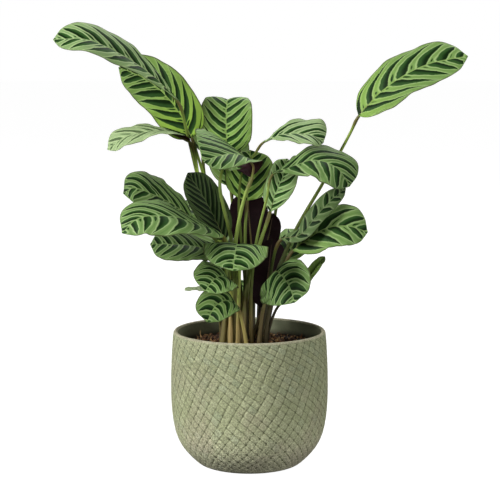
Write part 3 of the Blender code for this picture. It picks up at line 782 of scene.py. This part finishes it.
def stalk_look():
    """Green, reddish brown at the joint under the blade and olive brown in the sheath low down,
    with painted shade low down toward the back and painted light near the blade.
    """
    look = Look("leaf_stalk")
    turn, leaf_number = look.uv("bars")
    before, height = look.uv("place")
    painted_shade, pale = look.uv("leaf")
    streak = look.noise(look.join(turn * 9.0, height * 0.03, leaf_number), 1.0, detail=3.0)
    blotch = look.noise(look.join(turn * 2.0, height * 0.12, leaf_number), 1.0, detail=3.0)
    green = look.mix(streak, rgb(100, 128, 46), rgb(140, 158, 70))
    brown = look.chance(leaf_number, 2.0)
    sheath = look.mix(brown, rgb(122, 118, 58), rgb(150, 116, 74))
    sheath = look.mix(streak, sheath, rgb(164, 150, 92))
    low = (height + (blotch - 0.5) * 60.0).fade(15.0, 75.0)
    # The painted shade fades out higher up the stalks
    painted_shade = painted_shade + (1.0 - painted_shade) * 0.45 * height.step(50.0, 150.0)
    colour = look.bright(look.mix(low, green, sheath), painted_shade)
    # Painted light: lighter near the blade, and by the stalk's own factor where it lies in shade
    colour = look.bright(colour, before.step(20.0, 80.0, 1.5, 1.0) * pale)
    joint = before.fade(7.0, 17.0) * before.step(-4.0, 2.0)
    colour = look.mix(joint * (0.45 + 0.4 * blotch), colour, rgb(92, 62, 40))
    under = before.fade(-6.0, 0.0)
    colour = look.mix(under, colour, look.mix(before.step(-60.0, 0.0), rgb(74, 44, 40),
                                              rgb(112, 104, 58)))
    look.surface(look.bright(colour, 0.74 + 0.52 * streak), 0.3, 0.44 + 0.15 * blotch)
    look.bump(streak, 0.00025)
    return look.material


def pot_look():
    """Matt sage, uneven from cell to cell, with olive lines in the grooves and beige wear.

    Painted highlights lie beside the steep grooves, and painted light and shade make the pot
    lighter low down and darker toward the rim.
    """
    look = Look("pot_outside")
    steep, flat = look.uv("lattice")
    place = look.place()
    height = look.split(place)[2]
    patch = look.noise(place, 28.0, detail=3.0)
    speck = look.noise(place, 620.0, detail=3.0, roughness=0.65).step(0.3, 0.7)
    crack = look.cracks(place, 430.0).fade(0.02, 0.16)
    # The grooves wander a little, and each cell between them has its own tone
    wander = look.noise(place, 130.0)
    steep = steep + (wander - 0.5) * 0.15
    flat = flat + (wander - 0.5) * 0.2
    steep_cell = (steep + 0.5).floor()
    flat_cell = (flat + 0.5).floor()
    to_steep = (steep - steep_cell).size()
    to_flat = (flat - flat_cell).size()
    tone = look.chance(steep.floor(), flat.floor())
    hue = look.chance(steep.floor(), flat.floor() + 50.0)
    # Olive lines in the grooves, faded in places, and a pit where they cross
    faded = look.noise(place, 60.0)
    steep_line = to_steep.fade(0.02, 0.09) * faded.step(0.3, 0.62, 0.25, 0.95)
    flat_line = to_flat.fade(0.02, 0.1) * faded.step(0.38, 0.7, 0.9, 0.2)
    deep = 0.4 + 0.6 * look.chance(steep_cell, flat_cell)
    pit = (to_steep + to_flat).fade(0.1, 0.28) * deep * height.step(0.03, 0.06, 1.0, 0.65)
    steep_line = steep_line * height.step(0.02, 0.06, 0.6, 1.0)
    shown = height.step(0.003, 0.009) * height.fade(0.1266, 0.1276)
    colour = look.mix(tone, rgb(153, 158, 122), rgb(167, 171, 136))
    colour = look.mix(hue.step(0.8, 0.95) * 0.18, colour, rgb(140, 158, 138))
    colour = look.mix(patch.step(0.5, 0.66) * height.step(0.02, 0.11, 0.45, 0.2), colour,
                      rgb(158, 149, 128))
    colour = look.mix(height.step(0.0, 0.055, 0.5, 0.0), colour, rgb(164, 157, 140))
    lines = steep_line.math("MAXIMUM", flat_line) * shown
    colour = look.mix(lines * 0.75, colour, rgb(100, 104, 74))
    colour = look.mix(pit * shown * 0.85, colour, rgb(66, 70, 46))
    colour = look.mix(height.step(0.127, 0.128) * 0.55, colour, rgb(176, 166, 144))
    # A painted highlight beside each steep groove, and pale flecks
    painted_groove_highlight = (steep - steep_cell).step(0.05, 0.12) * (steep - steep_cell).fade(0.14, 0.26)
    painted_groove_highlight = painted_groove_highlight * shown * look.noise(place, 240.0).step(0.4, 0.6)
    fleck = crack * height.step(0.02, 0.06, 0.7, 0.28)
    colour = look.bright(colour, (0.76 + 0.4 * speck) * (1.0 + fleck + 0.14 * painted_groove_highlight))
    # Painted light and shade: lighter low down, darker toward the rim
    colour = look.bright(colour, height.step(0.015, 0.12, 1.11, 0.91))
    look.surface(colour, 0.25, 0.82 + 0.1 * patch)
    look.bump(speck * 0.3 + (1.0 - lines) * 0.4 + (1.0 - crack) * 0.3, 0.0006)
    return look.material


def inside_look():
    look = Look("pot_inside")
    place = look.place()
    speck = look.noise(place, 300.0, detail=3.0, roughness=0.6)
    patch = look.noise(place, 40.0)
    colour = look.mix(patch, rgb(104, 110, 86), rgb(126, 128, 102))
    height = look.split(place)[2]
    colour = look.mix(height.step(0.1135, 0.12, 0.85, 0.0), colour, rgb(60, 54, 42))
    look.surface(look.bright(colour, 0.85 + 0.3 * speck), 0.25, 0.85 + 0.08 * patch)
    look.bump(speck, 0.0003)
    return look.material


def soil_look():
    look = Look("soil_crumb")
    place = look.place()
    crumb = look.noise(place, 420.0, detail=4.0, roughness=0.7)
    patch = look.noise(place, 70.0)
    colour = look.mix(crumb, rgb(26, 18, 13), rgb(70, 48, 34))
    colour = look.mix(patch.step(0.5, 0.7) * 0.5, colour, rgb(58, 36, 24))
    look.surface(colour, 0.3, 0.8 + 0.15 * crumb)
    look.bump(crumb, 0.0012)
    return look.material


def chip_look():
    look = Look("bark_chip")
    tone, kind = look.uv("tone")
    place = look.place()
    grain = look.noise(place, 520.0, detail=4.0, roughness=0.7)
    colour = look.mix(tone, rgb(26, 18, 12), rgb(114, 78, 46))
    colour = look.mix(kind.step(0.72, 0.8) * 0.8, colour, rgb(184, 148, 98))
    look.surface(look.bright(colour, 0.6 + 0.8 * grain), 0.3, 0.75 + 0.15 * grain)
    look.bump(grain, 0.0008)
    return look.material


# Pot
def pot_rows():
    """Radius, height and outward normal up the latticed outside, with the two families' turns."""
    path = spline([(r, 0, z) for r, z in POT_OUTSIDE])
    points, length = along(path, np.linspace(0, 1, OUTSIDE_ROWS + 1))
    radius, height = points[:, 0], points[:, 2]
    step = length / OUTSIDE_ROWS
    lean = unit(np.gradient(points, axis=0))
    normal = np.stack([lean[:, 2], -lean[:, 0]], axis=1)
    turns = []
    for count, slopes in ((STEEP_COUNT, STEEP_SLOPES), (FLAT_COUNT, FLAT_SLOPES)):
        slope = np.radians(np.interp(height, SLOPE_HEIGHTS, slopes))
        rate = count / (2 * np.pi * radius * np.tan(slope))
        turns.append(np.concatenate([[0], np.cumsum((rate[1:] + rate[:-1]) / 2 * step)]))
    return radius, height, normal, turns[0], turns[1], length


def groove(turns, count, slopes, radius, height):
    """How deep the groove is, 0 to 1, and the distance from it in millimetres."""
    slope = np.radians(np.interp(height, SLOPE_HEIGHTS, slopes))
    width = (2 * np.pi * radius / count * np.sin(slope))[:, None]
    distance = np.abs(turns - np.round(turns)) * width
    return np.exp(-0.5 * (distance / GROOVE_WIDTH) ** 2), distance


def make_pot(materials):
    radius, height, normal, steep_turn, flat_turn, length = pot_rows()
    fractions = np.arange(STEEP_COUNT)[:, None] + np.array(CELL_COLUMNS)
    steep = np.append(fractions.ravel(), STEEP_COUNT)
    angle = (steep + steep_turn[:, None]) * 2 * np.pi / STEEP_COUNT
    sway = 0.008 * np.sin(5 * angle + height[:, None] / 9) + 0.005 * np.sin(
        13 * angle - height[:, None] / 5)
    angle = angle + sway
    flat = FLAT_COUNT * angle / (2 * np.pi) + flat_turn[:, None]
    steep_depth, steep_mm = groove(steep[None], STEEP_COUNT, STEEP_SLOPES, radius, height)
    flat_depth, flat_mm = groove(flat, FLAT_COUNT, FLAT_SLOPES, radius, height)
    pit = np.exp(-0.5 * (steep_mm ** 2 + flat_mm ** 2) / 1.0 ** 2)
    run = np.linspace(0, length, OUTSIDE_ROWS + 1)
    shown = np.clip((run - 6) / 6, 0, 1) * np.clip((length - 0.2 - run) / 1.2, 0, 1)
    uneven_depth = 0.75 + 0.45 * np.sin(3 * angle + height[:, None] / 17) * np.sin(
        7 * angle - height[:, None] / 8)
    shallow = np.interp(height, [15, 60], [0.35, 1.0])[:, None]
    depth = np.maximum(steep_depth * shallow, 0.75 * flat_depth) * GROOVE_DEPTH * uneven_depth
    depth = (depth + pit * PIT_DEPTH) * shown[:, None]
    far = radius[:, None] - depth * normal[:, :1]
    high = height[:, None] - depth * normal[:, 1:]
    outside = turned(far, angle, high)

    rim, _ = along(spline([(r, 0, z) for r, z in POT_RIM]), np.linspace(0, 1, 8)[1:])
    inside, _ = along(np.array([(r, 0, z) for r, z in POT_INSIDE], float),
                      np.linspace(0, 1, 15)[1:])
    upper = np.vstack([rim, inside])
    over_rim = turned(upper[:, :1], angle[-1] - sway[-1], upper[:, 2:])

    skin = Skin("lattice")
    numbers = closed(skin.add_points(np.concatenate([outside, over_rim])[:, :-1]))
    flat_map = np.concatenate([flat, np.broadcast_to(flat[-1], over_rim.shape[:2])])
    lattice = pair(steep, flat_map, numbers.shape)
    last_outside = OUTSIDE_ROWS + len(rim)
    for low, high_row, look in ((0, last_outside, 0), (last_outside, len(numbers) - 1, 1)):
        part = slice(low, high_row + 1)
        skin.add_faces(quads(numbers[part]), look, lattice=quads(lattice[part]))
    skin.add_fan(numbers[0], POT_OUTSIDE[0][1], 0, flip=True)
    skin.add_fan(numbers[-1], POT_INSIDE[-1][1], 1)
    obj = skin.build("latticed_pot", materials)
    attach(obj, ROOT)
    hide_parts("pot")


# Soil
def waves(x, y, count, shortest, longest, seed):
    """A rough field from many plane waves, about -1 to 1."""
    draw = np.random.default_rng(seed)
    total = 0
    for _ in range(count):
        heading = draw.uniform(0, 2 * np.pi)
        number = 2 * np.pi / draw.uniform(shortest, longest)
        total = total + np.sin((x * np.cos(heading) + y * np.sin(heading)) * number
                               + draw.uniform(0, 2 * np.pi))
    return total / np.sqrt(count)


def soil_height(x, y):
    mound = 1.6 * np.exp(-((x + 3) ** 2 + (y - 8) ** 2) / 900)
    base = SOIL_TOP + mound + 0.7 * np.sin(x / 9 + 1) * np.cos(y / 11) + 0.4 * np.sin((x - y) / 5)
    return base + 0.55 * waves(x, y, 16, 6, 18, 11) + 0.35 * waves(x, y, 16, 2.2, 5, 12)


def make_soil(material):
    angle = round_angles(SOIL_SIDES)
    radius = np.linspace(1.0, SOIL_RADIUS, SOIL_RINGS)[:, None]
    x, y = radius * np.cos(angle), radius * np.sin(angle)
    top = np.stack([x, y, soil_height(x, y)], axis=-1)
    wall = np.array(SOIL_WALL)
    wall = turned(wall[:, :1], angle, wall[:, 1:])
    skin = Skin()
    numbers = closed(skin.add_points(np.concatenate([top, wall])))
    skin.add_faces(quads(numbers), 0, flip=True)
    skin.add_fan(numbers[0], float(soil_height(0.0, 0.0)), 0)
    skin.add_fan(numbers[-1], SOIL_WALL[-1][1], 0, flip=True)
    obj = skin.build("soil_surface", [material])
    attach(obj, ROOT)
    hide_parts("soil")


def round_block():
    """The twenty faces of an icosahedron, each split in four, as unit points and faces."""
    g = (1 + 5 ** 0.5) / 2
    points = [(-1, g, 0), (1, g, 0), (-1, -g, 0), (1, -g, 0), (0, -1, g), (0, 1, g), (0, -1, -g),
              (0, 1, -g), (g, 0, -1), (g, 0, 1), (-g, 0, -1), (-g, 0, 1)]
    coarse = [(0, 11, 5), (0, 5, 1), (0, 1, 7), (0, 7, 10), (0, 10, 11), (1, 5, 9), (5, 11, 4),
              (11, 10, 2), (10, 7, 6), (7, 1, 8), (3, 9, 4), (3, 4, 2), (3, 2, 6), (3, 6, 8),
              (3, 8, 9), (4, 9, 5), (2, 4, 11), (6, 2, 10), (8, 6, 7), (9, 8, 1)]
    points = [unit(np.array(p, float)) for p in points]
    halves = {}

    def halfway(a, b):
        key = (min(a, b), max(a, b))
        if key not in halves:
            halves[key] = len(points)
            points.append(unit(points[a] + points[b]))
        return halves[key]

    fine = []
    for a, b, c in coarse:
        ab, bc, ca = halfway(a, b), halfway(b, c), halfway(c, a)
        fine += [(a, ab, ca), (b, bc, ab), (c, ca, bc), (ab, bc, ca)]
    return np.array(points), np.array(coarse), np.array(fine)


def make_chips(material):
    """Bark and crumbs strewn on the soil, clear of the stalks."""
    draw = np.random.default_rng(CHIP_SEED)
    points, coarse, fine = round_block()
    feet = np.array([spec["foot"] for spec in LEAVES], float)
    thick = np.array([spec["thick"][0] for spec in LEAVES])
    skin = Skin("tone")
    for number in range(CHIP_DRAWS):
        large = number < LARGE_CHIPS
        size = np.array([draw.uniform(2.0, 5.2), draw.uniform(1.0, 2.4), draw.uniform(0.5, 1.2)])
        if not large:
            size = draw.uniform(0.5, 1.4) * draw.uniform(0.7, 1.2, 3)
        away = (SOIL_RADIUS - 1.5 - size[0]) * np.sqrt(draw.uniform(0.0, 1.0))
        heading = draw.uniform(0, 2 * np.pi)
        x, y = away * np.cos(heading), away * np.sin(heading)
        turn, tilt, roll = draw.uniform(0, 2 * np.pi), draw.normal(0, 0.35), draw.normal(0, 0.4)
        block = points if large else points[:12]
        shape = np.sign(block) * np.abs(block) ** 0.7 * size
        shape = shape * draw.uniform(0.75, 1.2, (len(block), 1))
        lift = draw.uniform(0.1, 0.8) * size[2]
        tone = draw.uniform(0, 1, 2)
        if np.any(np.hypot(feet[:, 0] - x, feet[:, 1] - y) < thick + size[0] + 0.4):
            continue
        turned_block = shape @ np.array(Euler((roll, tilt, turn)).to_matrix()).T
        numbers = skin.add_points(turned_block + (x, y, float(soil_height(x, y)) + lift))
        skin.add_faces(numbers[fine if large else coarse], 0, tone=tone)
    obj = skin.build("bark_chips", [material])
    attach(obj, ROOT)


def make_fibres(material):
    """Fine pale roots that curl up out of the soil beside the wall."""
    draw = np.random.default_rng(FIBRE_SEED)
    skin = Skin("tone")
    angles = round_angles(FIBRE_SIDES)[:, None]
    radius = np.linspace(*FIBRE_RADII, FIBRE_RINGS)[:, None, None]
    for x, y in FIBRE_FEET:
        start = np.array([x, y, float(soil_height(x, y)) - 1.0])
        moves = draw.normal(0, 1, (4, 3)) * (1.5, 1.2, 0.5) + (0, 0, 2.6)
        path = spline([start] + [start + move for move in np.cumsum(moves, axis=0)])
        centre, _ = along(path, np.linspace(0, 1, FIBRE_RINGS))
        ahead = unit(np.gradient(centre, axis=0))[:, None]
        aside = unit(np.cross(ahead, (0.0, 1.0, 0.0)))
        spokes = aside * np.cos(angles) + np.cross(ahead, aside) * np.sin(angles)
        rings = skin.add_points(centre[:, None] + radius * spokes)
        for faces in (quads(closed(rings)), rings[:1, ::-1], rings[-1:]):
            skin.add_faces(faces, 0, tone=FIBRE_TONE)
    obj = skin.build("root_fibres", [material])
    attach(obj, ROOT)


# Stage
def hide_from(obj, *rays):
    for kind in rays:
        setattr(obj, "visible_" + kind, False)


def make_floor():
    look = Look("floor_white")
    look.set(base_color=(0.12, 0.12, 0.12), roughness=0.9, emission_color=(1.0, 1.0, 1.0),
             emission_strength=0.985)
    skin = Skin()
    edge = skin.add_points(turned(STAGE_RADIUS / MM, round_angles(FLOOR_SIDES), 0.0))
    skin.add_faces(edge[None], 0)
    floor = skin.build("floor", [look.material])
    hide_from(floor, "diffuse", "glossy", "shadow")


def make_backdrop():
    """A wide white shell that only the camera sees, so that it doesn't light the plant."""
    look = Look("backdrop_white")
    look.set(base_color=(0.0, 0.0, 0.0), emission_color=(1.0, 1.0, 1.0), emission_strength=1.0,
             roughness=1.0)
    bpy.ops.mesh.primitive_uv_sphere_add(segments=48, ring_count=24, radius=STAGE_RADIUS)
    shell = bpy.context.object
    shell.name = "backdrop"
    shell.data.materials.append(look.material)
    hide_from(shell, "diffuse", "glossy", "transmission", "volume_scatter", "shadow")


def look_at(obj, place, target):
    obj.location = place
    obj.rotation_euler = (Vector(target) - Vector(place)).to_track_quat("-Z", "Y").to_euler()
    bpy.context.scene.collection.objects.link(obj)


def make_studio():
    scene = bpy.context.scene
    scene.view_settings.view_transform = "Standard"
    scene.world = bpy.data.worlds.new("soft_light")
    scene.world.use_nodes = True
    tree = scene.world.node_tree
    direction = make_node(tree, "TexCoord", {}, "Generated")
    above = make_node(tree, "SeparateXYZ", {0: direction}, "Z")
    strength = above.step(-0.35, 0.55, GROUND_LIGHT, SKY_LIGHT)
    feed(tree, tree.nodes["Background"].inputs["Strength"], strength)
    for name, (place, width, power) in LIGHTS.items():
        light = bpy.data.lights.new(name, "AREA")
        light.shape = "DISK"
        light.size = width
        light.energy = power
        look_at(bpy.data.objects.new(name, light), place, LIGHTS_AIM)
    make_floor()
    make_backdrop()
    camera = bpy.data.cameras.new("camera")
    camera.lens = LENS
    camera.sensor_width = SENSOR
    scene.camera = bpy.data.objects.new("camera", camera)
    look_at(scene.camera, EYE, AIM)


make_studio()
make_leaves([upper_look(), under_look(), stalk_look()])
make_pot([pot_look(), inside_look()])
make_soil(soil_look())
chips = chip_look()
make_chips(chips)
make_fibres(chips)
